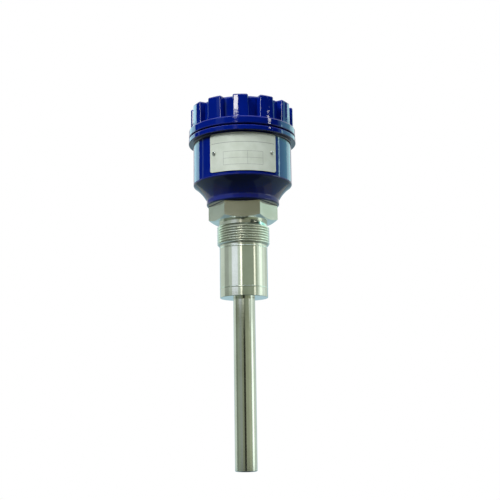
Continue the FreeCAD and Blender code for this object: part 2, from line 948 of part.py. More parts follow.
def earth_clamp():
    half = earth_clamp_width / 2
    channel = [
        (-half, 0),
        (half, 0),
        (half, earth_clamp_lip + earth_clamp_thickness),
        (half - earth_clamp_thickness, earth_clamp_lip + earth_clamp_thickness),
        (half - earth_clamp_thickness, earth_clamp_thickness),
        (earth_clamp_thickness - half, earth_clamp_thickness),
        (earth_clamp_thickness - half, earth_clamp_lip + earth_clamp_thickness),
        (-half, earth_clamp_lip + earth_clamp_thickness),
    ]
    strip = pulled(channel, -earth_clamp_length / 2, earth_clamp_length / 2)
    return strip.cut(cylinder(earth_thread_diameter / 2 + screw_clearance, -past, earth_clamp_lip))


def earth_screw():
    shank = earth_thread_diameter / 2 - screw_clearance
    seat = earth_clamp_thickness
    top = seat + earth_head_height
    screw = turned([
        (0, earth_end_gap - earth_thread_depth),
        (shank, earth_end_gap - earth_thread_depth, earth_end_edge),
        (shank, seat),
        (earth_head_diameter / 2, seat),
        (earth_head_diameter / 2, top, earth_head_edge),
        (0, top),
    ])
    slot = block((earth_head_diameter + past, earth_slot_width), (0, 0), top - earth_slot_depth, top + past)
    return screw.cut(slot)


# Electronics module

def electronics_cup():
    """A moulded cup with three pillars, each drilled for a fixing screw."""
    shell = turned([
        (0, cup_z),
        (cup_radius, cup_z, cup_edge),
        (cup_radius, cup_z + cup_height),
        (cup_radius - cup_wall, cup_z + cup_height),
        (cup_radius - cup_wall, cup_z + cup_wall),
        (0, cup_z + cup_wall),
    ])
    pillar = cylinder(post_diameter / 2, cup_z + cup_wall / 2, board_z)
    pillar.translate(vec(post_circle, 0, 0))
    hole = cylinder(module_screw_diameter / 2 + screw_clearance, cup_z - past, board_z + past)
    hole.translate(vec(post_circle, 0, 0))
    room = cylinder(cup_radius - cup_wall / 2, cup_z, cup_z + cup_height)
    pillars = [spun(pillar, angle).common(room) for angle in post_angles]
    cable_hole = cylinder(cable_diameter / 2 + cable_hole_clearance, cup_z - past, cup_z + cup_wall + past)
    cable_hole.translate(vec(cable_neck_offset, 0, 0))
    holes = [spun(hole, angle) for angle in post_angles] + [cable_hole]
    return shell.fuse(pillars).cut(holes).removeSplitter()


def circuit_board():
    board = cylinder(board_radius, board_z, board_top_z)
    hole = cylinder(module_screw_diameter / 2 + screw_clearance, board_z - past, board_top_z + past)
    hole.translate(vec(post_circle, 0, 0))
    return board.cut([spun(hole, angle) for angle in post_angles])


def module_screws():
    low = cup_z - module_screw_grip
    head = module_screw_head_diameter / 2
    top = board_top_z + module_screw_head_height
    screw = turned([
        (0, low),
        (module_screw_diameter / 2 - screw_clearance, low, module_screw_end_edge),
        (module_screw_diameter / 2 - screw_clearance, board_top_z),
        (head, board_top_z),
        (head, top, module_screw_head_edge),
        (0, top),
    ])
    slot_size = (module_screw_slot_length, module_screw_slot_width)
    slot = block(slot_size, (0, 0), top - module_screw_slot_depth, top + past)
    screw = screw.cut([slot, spun(slot, 90)])
    screw.translate(vec(post_circle, 0, 0))
    return [spun(screw, angle) for angle in post_angles]


def terminal_block(side):
    """A row of screw terminals: wire holes face the cable entries, screw wells face up."""
    width = terminal_pitch * terminal_ways
    half = terminal_depth / 2
    low = board_top_z
    profile = [
        (-half, low),
        (half, low),
        (half, low + terminal_height - terminal_step),
        (half - terminal_step / 2, low + terminal_height),
        (-half, low + terminal_height),
    ]
    bar = pulled(profile, -width / 2, width / 2)
    bar = spun(bar, 90)
    well = cylinder(terminal_screw_diameter / 2, low + terminal_height / 2, low + terminal_height + past)
    mouth_size = (wire_hole, wire_hole_depth + past)
    mouth_y = half + past - mouth_size[1] / 2
    mouth = block(mouth_size, (0, mouth_y), low + wire_hole_rise, low + wire_hole_rise + wire_hole)
    cuts = []
    for x in terminal_steps():
        for shape in (well, mouth):
            cut = shape.copy()
            cut.translate(vec(x, 0, 0))
            cuts.append(cut)
    result = bar.cut(cuts)
    result.translate(vec(side * terminal_offset, 0, 0))
    return result


def terminal_steps():
    return [(k - (terminal_ways - 1) / 2) * terminal_pitch for k in range(terminal_ways)]


def terminal_screws():
    top = board_top_z + terminal_height - terminal_screw_sink
    head = cylinder(terminal_screw_diameter / 2 - screw_clearance, top - terminal_screw_length, top)
    slot_size = (terminal_screw_diameter + past, terminal_slot_width)
    slot = block(slot_size, (0, 0), top - terminal_slot_depth, top + past)
    screw = head.cut(slot)
    screws = []
    for side in (-1, 1):
        for x in terminal_steps():
            copy = screw.copy()
            copy.translate(vec(side * terminal_offset + x, 0, 0))
            screws.append(copy)
    return screws


def relay():
    body = block(relay_size[:2], relay_place, board_top_z, board_top_z + relay_size[2])
    upright = [e for e in body.Edges if abs(e.tangentAt(e.FirstParameter).z) > 0.9]
    return body.makeFillet(relay_edge, upright)


def transformer():
    """A square ferrite core with a round winding showing on both sides of its window."""
    core = block(core_size[:2], core_place, board_top_z, board_top_z + core_size[2])
    middle = board_top_z + core_size[2] / 2
    window_length = core_size[0] - 2 * core_leg
    low = middle - coil_height / 2
    high = middle + coil_height / 2
    window = block((window_length, core_size[1] + past), core_place, low, high)
    coil = cylinder(core_size[1] / 2 + coil_overhang, low, high)
    coil.translate(vec(core_place[0], core_place[1], 0))
    gap = block((window_length, core_size[1] + 2 * coil_overhang + past), core_place, low, high)
    return core.cut(window).fuse(coil.common(gap)).removeSplitter()


def trimmer_base():
    top = board_top_z + trimmer_height
    base = block((trimmer_size, trimmer_size), trimmer_place, board_top_z, top)
    seat = cylinder(trimmer_rotor_diameter / 2 + trimmer_clearance, top - trimmer_seat_depth, top + past)
    seat.translate(vec(trimmer_place[0], trimmer_place[1], 0))
    return base.cut(seat)


def trimmer_rotor():
    low = board_top_z + trimmer_height - trimmer_seat_depth + trimmer_clearance
    top = low + trimmer_rotor_height
    disc = cylinder(trimmer_rotor_diameter / 2, low, top)
    slot_size = (trimmer_rotor_diameter + past, trimmer_slot_width)
    slot = block(slot_size, (0, 0), top - trimmer_slot_depth, top + past)
    rotor = disc.cut(slot)
    rotor.translate(vec(trimmer_place[0], trimmer_place[1], 0))
    return rotor


def mode_switch_body():
    """A slide switch; its slot runs along Y and leaves the knob its travel."""
    top = board_top_z + switch_height
    body = block((switch_width, switch_length), switch_place, board_top_z, top)
    slot_width = switch_knob + 2 * switch_clearance
    slot_size = (slot_width, slot_width + switch_travel)
    slot = block(slot_size, switch_place, top - switch_slot_depth, top + past)
    return body.cut(slot)


def mode_switch_slider():
    low = board_top_z + switch_height - switch_slot_depth + switch_clearance
    place = (switch_place[0], switch_place[1] - switch_travel / 2)
    return block((switch_knob, switch_knob), place, low, low + switch_knob_height)


def status_leds():
    led = turned([
        (0, board_top_z),
        (led_flange / 2, board_top_z),
        (led_flange / 2, board_top_z + led_flange_height),
        (led_diameter / 2, board_top_z + led_flange_height),
        (led_diameter / 2, board_top_z + led_height, led_diameter / 2 - led_crown),
        (0, board_top_z + led_height),
    ])
    lamps = []
    for x, y in led_places:
        lamp = led.copy()
        lamp.translate(vec(x, y, 0))
        lamps.append(lamp)
    return lamps


def build():
    os.makedirs("parts", exist_ok=True)
    write("process_connection", [process_connection()])
    write("neck_seal", [neck_seal()])
    write("neck_lock_nut", [neck_lock_nut()])
    write("sensor_tube", [sensor_tube()])
    write("sensor_head", [sensor_head()])
    write("vibrating_rod", [vibrating_rod()])
    write("rod_end_plug", [rod_end_plug()])
    write("inner_rod", [inner_rod()])
    insulators, electrodes, discs, plate, washer, nut, bolt, tab_z = piezo_stack()
    write("insulating_washers", insulators)
    write("electrode_plates", electrodes)
    write("piezo_discs", discs)
    write("pressure_plate", [plate])
    write("spring_washer", [washer])
    write("clamp_nut", [nut])
    write("tension_bolt", [bolt])
    write("signal_cable", [signal_cable(tab_z)])
    write("housing", [housing()])
    write("lid", [lid()])
    write("lid_seal", [lid_seal()])
    write("nameplate", [nameplate()])
    write("nameplate_rivets", nameplate_rivets())
    gland_x, plug_x = entry_offset, -entry_offset
    write("gland_body", [facing_back(gland_body(), gland_x, entry_z, entry_face)])
    write("gland_gasket", [facing_back(entry_gasket(), gland_x, entry_z, entry_face)])
    write("gland_insert", [facing_back(gland_insert(), gland_x, entry_z, entry_face)])
    write("gland_cap", [facing_back(gland_cap(), gland_x, entry_z, entry_face)])
    write("blanking_plug", [facing_back(blanking_plug(), plug_x, entry_z, entry_face)])
    write("blanking_gasket", [facing_back(entry_gasket(), plug_x, entry_z, entry_face)])
    write("earth_clamp", [facing_back(earth_clamp(), 0, earth_z, earth_face)])
    write("earth_screw", [facing_back(earth_screw(), 0, earth_z, earth_face)])
    write("electronics_cup", [electronics_cup()])
    write("circuit_board", [circuit_board()])
    write("module_screws", module_screws())
    write("supply_terminals", [terminal_block(-1)])
    write("relay_terminals", [terminal_block(1)])
    write("terminal_screws", terminal_screws())
    write("relay", [relay()])
    write("transformer", [transformer()])
    write("trimmer_base", [trimmer_base()])
    write("trimmer_rotor", [trimmer_rotor()])
    write("mode_switch_body", [mode_switch_body()])
    write("mode_switch_slider", [mode_switch_slider()])
    write("status_leds", status_leds())


build()
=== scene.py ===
# %% [markdown]
# # A vibrating rod level switch, dressed for its picture
#
# The instrument screws into the wall of a silo. A straight rod hums inside it, and the electronics in
# the blue housing notice when powder covers the rod and damps it. The metal parts come as a finished
# frame, each at its real place and size. This script gives every part its finish, cuts the screw
# threads, adds weld beads and other small detail, and sets up a studio round it.

import math

import bmesh
import bpy
from mathutils import Matrix, Vector


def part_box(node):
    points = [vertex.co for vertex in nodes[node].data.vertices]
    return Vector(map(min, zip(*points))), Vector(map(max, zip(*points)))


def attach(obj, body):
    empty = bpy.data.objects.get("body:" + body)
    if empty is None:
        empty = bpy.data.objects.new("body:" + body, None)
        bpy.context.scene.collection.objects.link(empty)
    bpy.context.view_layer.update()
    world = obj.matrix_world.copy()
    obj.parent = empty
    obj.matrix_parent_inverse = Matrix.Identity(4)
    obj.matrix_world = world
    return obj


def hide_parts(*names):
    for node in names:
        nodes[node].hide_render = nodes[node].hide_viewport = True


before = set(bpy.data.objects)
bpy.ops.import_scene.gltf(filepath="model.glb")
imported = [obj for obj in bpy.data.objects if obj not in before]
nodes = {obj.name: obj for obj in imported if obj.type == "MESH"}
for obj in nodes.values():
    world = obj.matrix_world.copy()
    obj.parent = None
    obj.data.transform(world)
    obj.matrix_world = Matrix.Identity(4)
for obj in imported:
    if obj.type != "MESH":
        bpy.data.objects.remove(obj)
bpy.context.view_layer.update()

# %% [markdown]
# ## Writing shaders as sums
#
# A finish is a graph of nodes. Wiring nodes by hand takes many lines and hides the idea, so a small
# class wraps one socket and teaches it Python's own operators. `1 - mask * 0.4` then adds the two Math
# nodes by itself. Colours and vectors must not pass through Math nodes, which turn a colour grey, so
# `blend` and `vector` use the Mix and Vector Math nodes. Every other node comes from one method,
# `node`, which sets the node's settings first, then its inputs.

# %% A socket that can take part in a sum
class Value:
    """One socket of a shader's node tree, usable in Python expressions."""

    def __init__(self, tree, socket=None):
        self.tree = tree
        self.socket = socket

    def node(self, kind, settings=None, inputs=None, output=0):
        made = self.tree.nodes.new(kind)
        for name, setting in (settings or {}).items():
            setattr(made, name, setting)
        for name, value in (inputs or {}).items():
            if isinstance(value, Value):
                self.tree.links.new(value.socket, made.inputs[name])
            else:
                made.inputs[name].default_value = value
        return Value(self.tree, made.outputs[output])

    def math(self, operation, *others):
        """This value, and the others after it, put through one Math node."""
        return self.node("ShaderNodeMath", {"operation": operation}, dict(enumerate((self, *others))))

    def __add__(self, other):
        return self.math("ADD", other)

    def __sub__(self, other):
        return self.math("SUBTRACT", other)

    def __rsub__(self, other):
        return self.math("MULTIPLY_ADD", -1.0, other)

    def __mul__(self, other):
        return self.math("MULTIPLY", other)

    def __truediv__(self, other):
        return self.math("DIVIDE", other)

    def __lt__(self, other):
        return self.math("LESS_THAN", other)

    def __gt__(self, other):
        return self.math("GREATER_THAN", other)

    __radd__ = __add__
    __rmul__ = __mul__

    def between(self, low, high):
        """0 at low, 1 at high, and a soft step between them."""
        settings = {"interpolation_type": "SMOOTHSTEP"}
        return self.node("ShaderNodeMapRange", settings, {0: self, 1: low, 2: high})

    def vector(self, operation, *others, output=0):
        """This vector, and the others after it, put through one Vector Math node."""
        inputs = dict(enumerate((self, *others)))
        return self.node("ShaderNodeVectorMath", {"operation": operation}, inputs, output)

    def part(self, name):
        return self.node("ShaderNodeSeparateXYZ", inputs={0: self}, output=name)

    def blend(self, first, second):
        """The colour first where this value is 0, second where it is 1."""
        return self.node("ShaderNodeMix", {"data_type": "RGBA"}, {0: self, 6: first, 7: second}, 2)


print("a socket can:", ", ".join(name for name, value in vars(Value).items() if callable(value)))

# %% [markdown]
# ## One way to make a finish
#
# Each finish is a recipe: a short function that takes the empty shader and says what varies over the
# surface. What stays the same everywhere, such as how metallic it is, is set straight on the shader's
# own sockets. Places are read from the object's own coordinates in metres, so a grain that is a tenth
# of a millimetre wide on the real part is that wide here too.

# %% Recipes become materials
MM = 0.001


def finish(name, recipe, fixed=None):
    material = bpy.data.materials.new(name)
    material.use_nodes = True
    tree = material.node_tree
    shader = tree.nodes["Principled BSDF"]
    for socket, value in (fixed or {}).items():
        shader.inputs[socket].default_value = value
    for socket, value in recipe(Value(tree)).items():
        tree.links.new(value.socket, shader.inputs[socket])
    return material


def place(shade):
    return shade.node("ShaderNodeTexCoord", output="Object")


def from_axis(shade):
    """Metres from the instrument's axis."""
    return place(shade).vector("MULTIPLY", (1, 1, 0)).vector("LENGTH", output="Value")


def within(value, low, high):
    return (value > low) * (value < high)


def grain(shade, size, detail=2.0, stretch=(1, 1, 1), roughness=0.5, output=0):
    """Noise whose blotches measure about size metres; a stretch under 1 makes them longer that way."""
    scaled = place(shade).vector("MULTIPLY", tuple(s / size for s in stretch))
    inputs = {"Vector": scaled, "Scale": 1.0, "Detail": detail, "Roughness": roughness}
    return shade.node("ShaderNodeTexNoise", None, inputs, output)


def bump(shade, height, depth, below=None):
    """A surface whose height of 0 to 1 stands for a relief of depth metres."""
    inputs = {"Height": height, "Distance": depth, "Strength": 1.0}
    if below:
        inputs["Normal"] = below
    return shade.node("ShaderNodeBump", None, inputs)


def rgb(red, green, blue):
    return red, green, blue, 1.0


def dress(material, *names):
    for name in names:
        mesh = nodes[name].data
        mesh.materials.clear()
        mesh.materials.append(material)
    print(material.name, "on", ", ".join(names))


print("one millimetre is", MM, "of Blender's metres")

# %% [markdown]
# ## Blue enamel
#
# The housing and the lid are aluminium castings under a thick glossy enamel. Up close it isn't flat:
# it has the fine dimples called orange peel, and under them the slow waves of the cast skin. Both are
# bumps, made from two sizes of noise. A clear coat would mirror the studio without these bumps, so the
# gloss comes from the base layer itself, whose normal the bumps do turn: highlights break up at their
# edges as they do on real enamel. Where the lid screws in, the tool has cut through the enamel, so the
# finish turns into bare aluminium there. The distance from the axis and the height pick that zone.

# %% Enamel for the castings
lid_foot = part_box("lid")[0][2]
seal_low, seal_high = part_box("lid_seal")
CUT_MARGIN = 0.5 * MM
cut_radius = seal_high[0] + CUT_MARGIN
cut_heights = (lid_foot - 3 * CUT_MARGIN, seal_high[2] + CUT_MARGIN)
PEEL_SIZE = 1.6 * MM
WAVE_SIZE = 6 * MM
SPECK_SIZE = 0.35 * MM
CLOUD_SIZE = 22 * MM
ENAMEL_RELIEF = 0.045 * MM


def enamel(shade):
    peel = grain(shade, PEEL_SIZE, 1.0)
    waves = grain(shade, WAVE_SIZE, 2.0)
    specks = grain(shade, SPECK_SIZE, 1.0).between(0.68, 0.8)
    cloud = grain(shade, CLOUD_SIZE, 3.0)
    deep = cloud.between(0.3, 0.7).blend(rgb(0.0004, 0.0095, 0.195), rgb(0.0006, 0.011, 0.222))
    colour = (specks * 0.2).blend(deep, rgb(0.010, 0.03, 0.20))
    cut = (from_axis(shade) < cut_radius) * within(place(shade).part("Z"), *cut_heights)
    return {
        "Base Color": cut.blend(colour, rgb(0.62, 0.63, 0.63)),
        "Metallic": cut,
        "Roughness": 0.03 + cloud * 0.04 + specks * 0.15 + cut * 0.22,
        "Normal": bump(shade, peel * 0.3 + waves, ENAMEL_RELIEF),
    }


blue_enamel = finish("blue_enamel", enamel, {"IOR": 1.5})
dress(blue_enamel, "housing", "lid")


# %% [markdown]
# ## Turned stainless steel
#
# The process connection, the tube, the sensor head and the rod come off a lathe. A lathe tool leaves
# grooves that run round the part, a few hundredths of a millimetre apart. Noise that is squeezed along
# the axis and left wide round it draws them. The grooves feed the bump and the roughness, so that
# reflections smear along the axis and stay crisp round it, as on the real steel. The small metal parts
# take the same recipe in other colours: zinc on the screws, nickel on the gland, brass electrodes.

# %% Steel from the lathe
GROOVE_SIZE = 4 * MM
GROOVE_STRETCH = (0.25, 0.25, 60)
CHATTER_SIZE = 9 * MM
CHATTER_STRETCH = (0.2, 0.2, 12)
STAIN_SIZE = 16 * MM
SPOT_SIZE = 1.1 * MM


def turned(shade, tint, dull, rough, relief):
    fine = grain(shade, GROOVE_SIZE, 2.0, GROOVE_STRETCH)
    coarse = grain(shade, CHATTER_SIZE, 2.0, CHATTER_STRETCH)
    stain = grain(shade, STAIN_SIZE, 4.0)
    spots = grain(shade, SPOT_SIZE, 2.0).between(0.68, 0.8)
    colour = (stain.between(0.35, 0.75) * 0.6 + spots * 0.25).blend(tint, dull)
    return {
        "Base Color": colour,
        "Roughness": rough + fine * 0.06 + coarse * 0.04 + spots * 0.1,
        "Normal": bump(shade, fine * 0.6 + coarse, relief),
    }


def steel(name, tint, dull, rough, relief):
    return finish(name, lambda shade: turned(shade, tint, dull, rough, relief), {"Metallic": 1.0})


turned_steel = steel("turned_steel", rgb(0.62, 0.65, 0.58), rgb(0.50, 0.53, 0.44), 0.17, 0.02 * MM)
drawn_steel = steel("drawn_steel", rgb(0.62, 0.65, 0.58), rgb(0.54, 0.57, 0.49), 0.06, 0.005 * MM)
rod_steel = steel("rod_steel", rgb(0.60, 0.63, 0.57), rgb(0.50, 0.52, 0.45), 0.06, 0.006 * MM)
drive_steel = steel("drive_steel", rgb(0.52, 0.53, 0.54), rgb(0.40, 0.40, 0.40), 0.25, 0.02 * MM)
zinc_steel = steel("zinc_steel", rgb(0.60, 0.61, 0.60), rgb(0.46, 0.45, 0.40), 0.28, 0.01 * MM)
nickel_brass = steel("nickel_brass", rgb(0.60, 0.58, 0.51), rgb(0.48, 0.44, 0.34), 0.22, 0.02 * MM)
contact_brass = steel("contact_brass", rgb(0.66, 0.44, 0.16), rgb(0.45, 0.28, 0.10), 0.25, 0.01 * MM)
dress(turned_steel, "process_connection")
dress(drawn_steel, "sensor_tube", "sensor_head")
dress(rod_steel, "vibrating_rod", "rod_end_plug")
dress(drive_steel, "inner_rod", "tension_bolt", "clamp_nut", "pressure_plate", "spring_washer")
dress(zinc_steel, "earth_screw", "earth_clamp", "module_screws", "terminal_screws", "neck_lock_nut")
dress(nickel_brass, "gland_body", "gland_cap", "blanking_plug")
dress(contact_brass, "electrode_plates")


# %% [markdown]
# ## The nameplate
#
# The plate is thin aluminium with a matt silver print, rolled round the body. The print is mostly a
# pale grey ink that scatters light, with a little of the metal's own shine. The rulings of a plain
# form stand on it: a heading line, and below it a box of two rows with one divider. The distance round
# the body serves as the ruler along the plate: the angle from the front times the radius. A ruling is
# then the set of points whose distance from a line is under its half width.

# %% Printed rulings on brushed aluminium
plate_low, plate_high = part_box("nameplate")
plate_radius = -plate_low[1]
plate_bottom = plate_low[2]
plate_height = plate_high[2] - plate_low[2]
plate_half = plate_radius * math.asin(plate_high[0] / plate_radius)
HEADING_RULE = 0.35 * MM
HEADING_INSET = 1.6 * MM
HEADING_DROP = 9.0 * MM
FORM_RULE = 0.22 * MM
FORM_INSET = HEADING_INSET + 12 * MM
FORM_BOTTOM = 5.6 * MM
FORM_ROW = 6.0 * MM
FORM_LINES = 3
FORM_DIVIDER = 4.0 * MM
BRUSH_SIZE = 6 * MM
BRUSH_STRETCH = (0.3, 0.3, 40)
PRINT_CLOUD_SIZE = 9 * MM
PRINT_RELIEF = 0.03 * MM


def plate_ruler(shade):
    """Metres round the body from the plate's middle, and metres up from its lower edge."""
    here = place(shade)
    along = here.part("X").math("ARCTAN2", here.part("Y") * -1) * plate_radius
    return along, here.part("Z") - plate_bottom


def ruling(value, at, width):
    return (value - at).math("ABSOLUTE") < width / 2


def plate_rulings(shade):
    along, up = plate_ruler(shade)
    heading_end = plate_half - HEADING_INSET
    form_end = plate_half - FORM_INSET
    rows = [FORM_BOTTOM + k * FORM_ROW for k in range(FORM_LINES)]
    marks = ruling(up, plate_height - HEADING_DROP, HEADING_RULE) * within(along, -heading_end, heading_end)
    for row in rows:
        marks = marks + ruling(up, row, FORM_RULE) * within(along, -form_end, form_end)
    for column in (-form_end, form_end, FORM_DIVIDER):
        marks = marks + ruling(along, column, FORM_RULE) * within(up, rows[0], rows[-1])
    return marks.math("MINIMUM", 1.0)


def plate_finish(shade):
    brushed = grain(shade, BRUSH_SIZE, 3.0, BRUSH_STRETCH)
    cloud = grain(shade, PRINT_CLOUD_SIZE, 3.0)
    marks = plate_rulings(shade)
    metal = cloud.between(0.3, 0.75).blend(rgb(0.69, 0.75, 0.66), rgb(0.61, 0.67, 0.57))
    return {
        "Base Color": (marks * 0.8).blend(metal, rgb(0.16, 0.18, 0.17)),
        "Roughness": 0.46 + brushed * 0.14,
        "Normal": bump(shade, brushed * 0.3 - marks, PRINT_RELIEF),
    }


plate_metal = finish("plate_metal", plate_finish, {"Metallic": 0.15})
rivet_metal = steel("rivet_metal", rgb(0.66, 0.67, 0.64), rgb(0.5, 0.5, 0.46), 0.2, 0.01 * MM)
dress(plate_metal, "nameplate")
dress(rivet_metal, "nameplate_rivets")
print("nameplate:", round(2 * plate_half / MM, 1), "x", round(plate_height / MM, 1), "mm")


# %% [markdown]
# ## Rubber, plastics and ceramic
#
# The small parts inside are moulded or fired, and show themselves when the lid is off. One recipe
# serves them all: a base colour with a slow drift, a fine moulding grain, and a roughness that follows
# the grain. Only the numbers differ from part to part.

# %% Moulded and fired parts
DRIFT_SIZE = 7 * MM


def moulded(shade, tint, other, rough, size, depth):
    drift = grain(shade, DRIFT_SIZE, 3.0)
    skin = grain(shade, size, 2.0)
    return {
        "Base Color": drift.between(0.3, 0.7).blend(tint, other),
        "Roughness": rough + skin * 0.15,
        "Normal": bump(shade, skin, depth),
    }


def plain_part(name, tint, other, rough, size, depth, fixed=None):
    return finish(name, lambda shade: moulded(shade, tint, other, rough, size, depth), fixed)


seal_rubber = plain_part("seal_rubber", rgb(.012, .012, .013), rgb(.03, .03, .03), .55, .4 * MM, .03 * MM)
alumina = plain_part("alumina", rgb(.80, .78, .72), rgb(.70, .68, .62), .55, .2 * MM, .01 * MM)
piezo_ceramic = plain_part("piezo_ceramic", rgb(.42, .38, .26), rgb(.33, .30, .2), .5, .2 * MM, .01 * MM)
cable_jacket = plain_part("cable_jacket", rgb(.03, .03, .035), rgb(.05, .05, .05), .5, .6 * MM, .02 * MM)
cup_plastic = plain_part("cup_plastic", rgb(.012, .012, .014), rgb(.02, .02, .022), .4, .5 * MM, .02 * MM)
terminal_green = plain_part("terminal_green", rgb(.02, .2, .08), rgb(.015, .15, .06), .35, .4 * MM, .02 * MM)
relay_plastic = plain_part("relay_plastic", rgb(.01, .07, .30), rgb(.01, .05, .22), .3, .4 * MM, .02 * MM)
ferrite = plain_part("ferrite", rgb(.02, .02, .021), rgb(.035, .034, .033), .5, .2 * MM, .02 * MM)
trimmer_blue = plain_part("trimmer_blue", rgb(.01, .08, .35), rgb(.01, .06, .28), .3, .3 * MM, .01 * MM)
trimmer_white = plain_part("trimmer_white", rgb(.75, .75, .70), rgb(.68, .67, .62), .4, .3 * MM, .01 * MM)
switch_black = plain_part("switch_black", rgb(.01, .01, .011), rgb(.018, .018, .018), .35, .3 * MM, .01 * MM)
led_lens = plain_part("led_lens", rgb(.40, .50, .10), rgb(.34, .44, .08), .12, .5 * MM, .002 * MM,
                      {"Coat Weight": 0.6})
dress(seal_rubber, "lid_seal", "neck_seal", "gland_insert", "gland_gasket", "blanking_gasket")
dress(alumina, "insulating_washers")
dress(piezo_ceramic, "piezo_discs")
dress(cable_jacket, "signal_cable")
dress(cup_plastic, "electronics_cup")
dress(terminal_green, "supply_terminals", "relay_terminals")
dress(relay_plastic, "relay")
dress(ferrite, "transformer")
dress(trimmer_blue, "trimmer_base")
dress(trimmer_white, "trimmer_rotor", "mode_switch_slider")
dress(switch_black, "mode_switch_body")
dress(led_lens, "status_leds")


# %% [markdown]
# ## The circuit board
#
# The board is green solder mask over copper. Straight tracks show through the mask as a slightly
# lighter green. Two families of lines, one along X and one along Y, are switched on and off by blocky
# cells, which gives runs that stop and turn as real tracks do.

# %% Tracks under the solder mask
TRACK_PITCH = 1.27 * MM
TRACK_EDGES = (0.34, 0.66)
TRACKS_IN_CELL = 6
CELLS_ALONG_X = 0.4
CELLS_ALONG_Y = 0.4
WEAVE_SIZE = 0.5 * MM
BOARD_RELIEF = 0.04 * MM


def board_finish(shade):
    here = place(shade)
    cells = here.vector("MULTIPLY", (1 / (TRACKS_IN_CELL * TRACK_PITCH),) * 3)
    pick = shade.node("ShaderNodeTexVoronoi", {"distance": "CHEBYCHEV"}, {"Vector": cells}, 1).part("X")

    def tracks(axis):
        return within((here.part(axis) / TRACK_PITCH).math("FRACT"), *TRACK_EDGES)

    along_x = tracks("Y") * (pick < CELLS_ALONG_X)
    along_y = tracks("X") * (pick > 1 - CELLS_ALONG_Y)
    copper = along_x + along_y
    weave = grain(shade, WEAVE_SIZE, 1.0)
    return {
        "Base Color": (copper * 0.9).blend(rgb(0.006, 0.06, 0.022), rgb(0.02, 0.14, 0.05)),
        "Roughness": 0.28 + weave * 0.1,
        "Normal": bump(shade, copper + weave * 0.3, BOARD_RELIEF),
    }


board_green = finish("board_green", board_finish, {"Coat Weight": 0.4})
dress(board_green, "circuit_board")


# %% [markdown]
# ## The process connection, with its thread cut
#
# This is one turned piece: a hexagon for the wrench, a pipe thread of 11 turns to the inch under it, a
# plain end for the weld, and a neck that goes up into the housing. The frame holds it with a smooth
# blank where the thread is. A Screw modifier could sweep a tooth round, but it would lie on the blank
# as a second skin. Here the whole piece is woven as one net of columns round the axis instead. In the
# threaded stretch the net's rows climb with the helix, so that its edges run along crests and roots. Its
# finish is the turned steel again, brighter where the thread was cut, with painted shade that darkens its
# roots. The frame's boxes give its two ends and the tube's radius. The other sizes are the real part's,
# and are written out here because no box can give them.

# %% Sizes of the threaded piece
connection_low, connection_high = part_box("process_connection")
tube_low, tube_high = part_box("sensor_tube")
tube_radius = tube_high[0]
INCH = 25.4 * MM
THREAD_PITCH = INCH / 11
THREAD_CREST = 23.9 * MM
THREAD_DEPTH = 1.4785 * MM
THREAD_LOW = -22.0 * MM
THREAD_HIGH = -4.825 * MM
LEAD_IN = 1.5 * MM
RELIEF_RADIUS = 22.25 * MM
RELIEF_LOW = -4.0 * MM
REGISTER_RADIUS = 19.2 * MM
SENSOR_BORE = 15.0 * MM
NECK_RADIUS = 15.0 * MM
NECK_BORE = 10.0 * MM
HEX_HALF = 27.5 * MM
HEX_TOP = 15.5 * MM
HEX_TURN = math.radians(-2.4)
HEX_BEVEL = math.radians(30)
FLAT_TO_CORNER = math.radians(30)
HEX_CORNER = HEX_HALF / math.cos(FLAT_TO_CORNER)
print("turns of thread:", round((THREAD_HIGH - THREAD_LOW) / THREAD_PITCH, 1))

# %% How far the surface stands from the axis
COLUMNS = 240
THREAD_STEPS = 28
CREST_HALF = 0.12
ROOT_HALF = 0.04


def hexagon_radius(angle):
    """Distance from the axis to the wrench flats at an angle from the first corner."""
    from_corner = (angle + FLAT_TO_CORNER) % (2 * FLAT_TO_CORNER) - FLAT_TO_CORNER
    return HEX_HALF / math.cos(FLAT_TO_CORNER - abs(from_corner))


def tooth_depth(phase):
    """How far the surface lies under the crest, 0 to 1, at a phase of 0 to 1 along one pitch."""
    along = min(max((abs(phase - round(phase)) - CREST_HALF) / (0.5 - CREST_HALF - ROOT_HALF), 0), 1)
    return along * along * (3 - 2 * along)


def thread_radius(phase, z):
    full = THREAD_CREST - THREAD_DEPTH * tooth_depth(phase)
    chamfer = THREAD_CREST - LEAD_IN + (z - THREAD_LOW)
    return min(full, chamfer)


print("radius over the flats and the corners:", round(HEX_HALF / MM, 1), round(HEX_CORNER / MM, 1))

# %% Rows of one column, from the bore's lower end out, up and back down the bore
GROOVE_LOW = 18.65 * MM
GROOVE_HIGH = 21.35 * MM
GROOVE_FLOOR = 13.05 * MM
neck_top = connection_high[2]
NECK_CHAMFER = 1.0 * MM
register_low = connection_low[2]
weld_z = tube_high[2]
SEAM = 0.15 * MM
BORE_STEP = 6.0 * MM
HEX_EDGE = 0.35 * MM
THREAD_ROWS = math.ceil((THREAD_HIGH - THREAD_LOW + THREAD_PITCH) / THREAD_PITCH * THREAD_STEPS) + 1
HEX_BEVEL_RISE = (HEX_CORNER - HEX_HALF) * math.tan(HEX_BEVEL)


def below_thread():
    return [
        (SENSOR_BORE, register_low),
        (REGISTER_RADIUS, register_low),
        (REGISTER_RADIUS, weld_z),
        (tube_radius - SEAM, weld_z),
        (tube_radius, weld_z + SEAM),
        (tube_radius, THREAD_LOW),
    ]


def thread_rows(column):
    """The rows climb one pitch in one turn, and stop at both ends of the threaded stretch."""
    rows = []
    for k in range(THREAD_ROWS):
        climb = k / THREAD_STEPS + column / COLUMNS - 1
        z = min(max(THREAD_LOW + climb * THREAD_PITCH, THREAD_LOW), THREAD_HIGH)
        phase = ((z - THREAD_LOW) / THREAD_PITCH - column / COLUMNS) % 1
        rows.append((thread_radius(phase, z), z))
    return rows


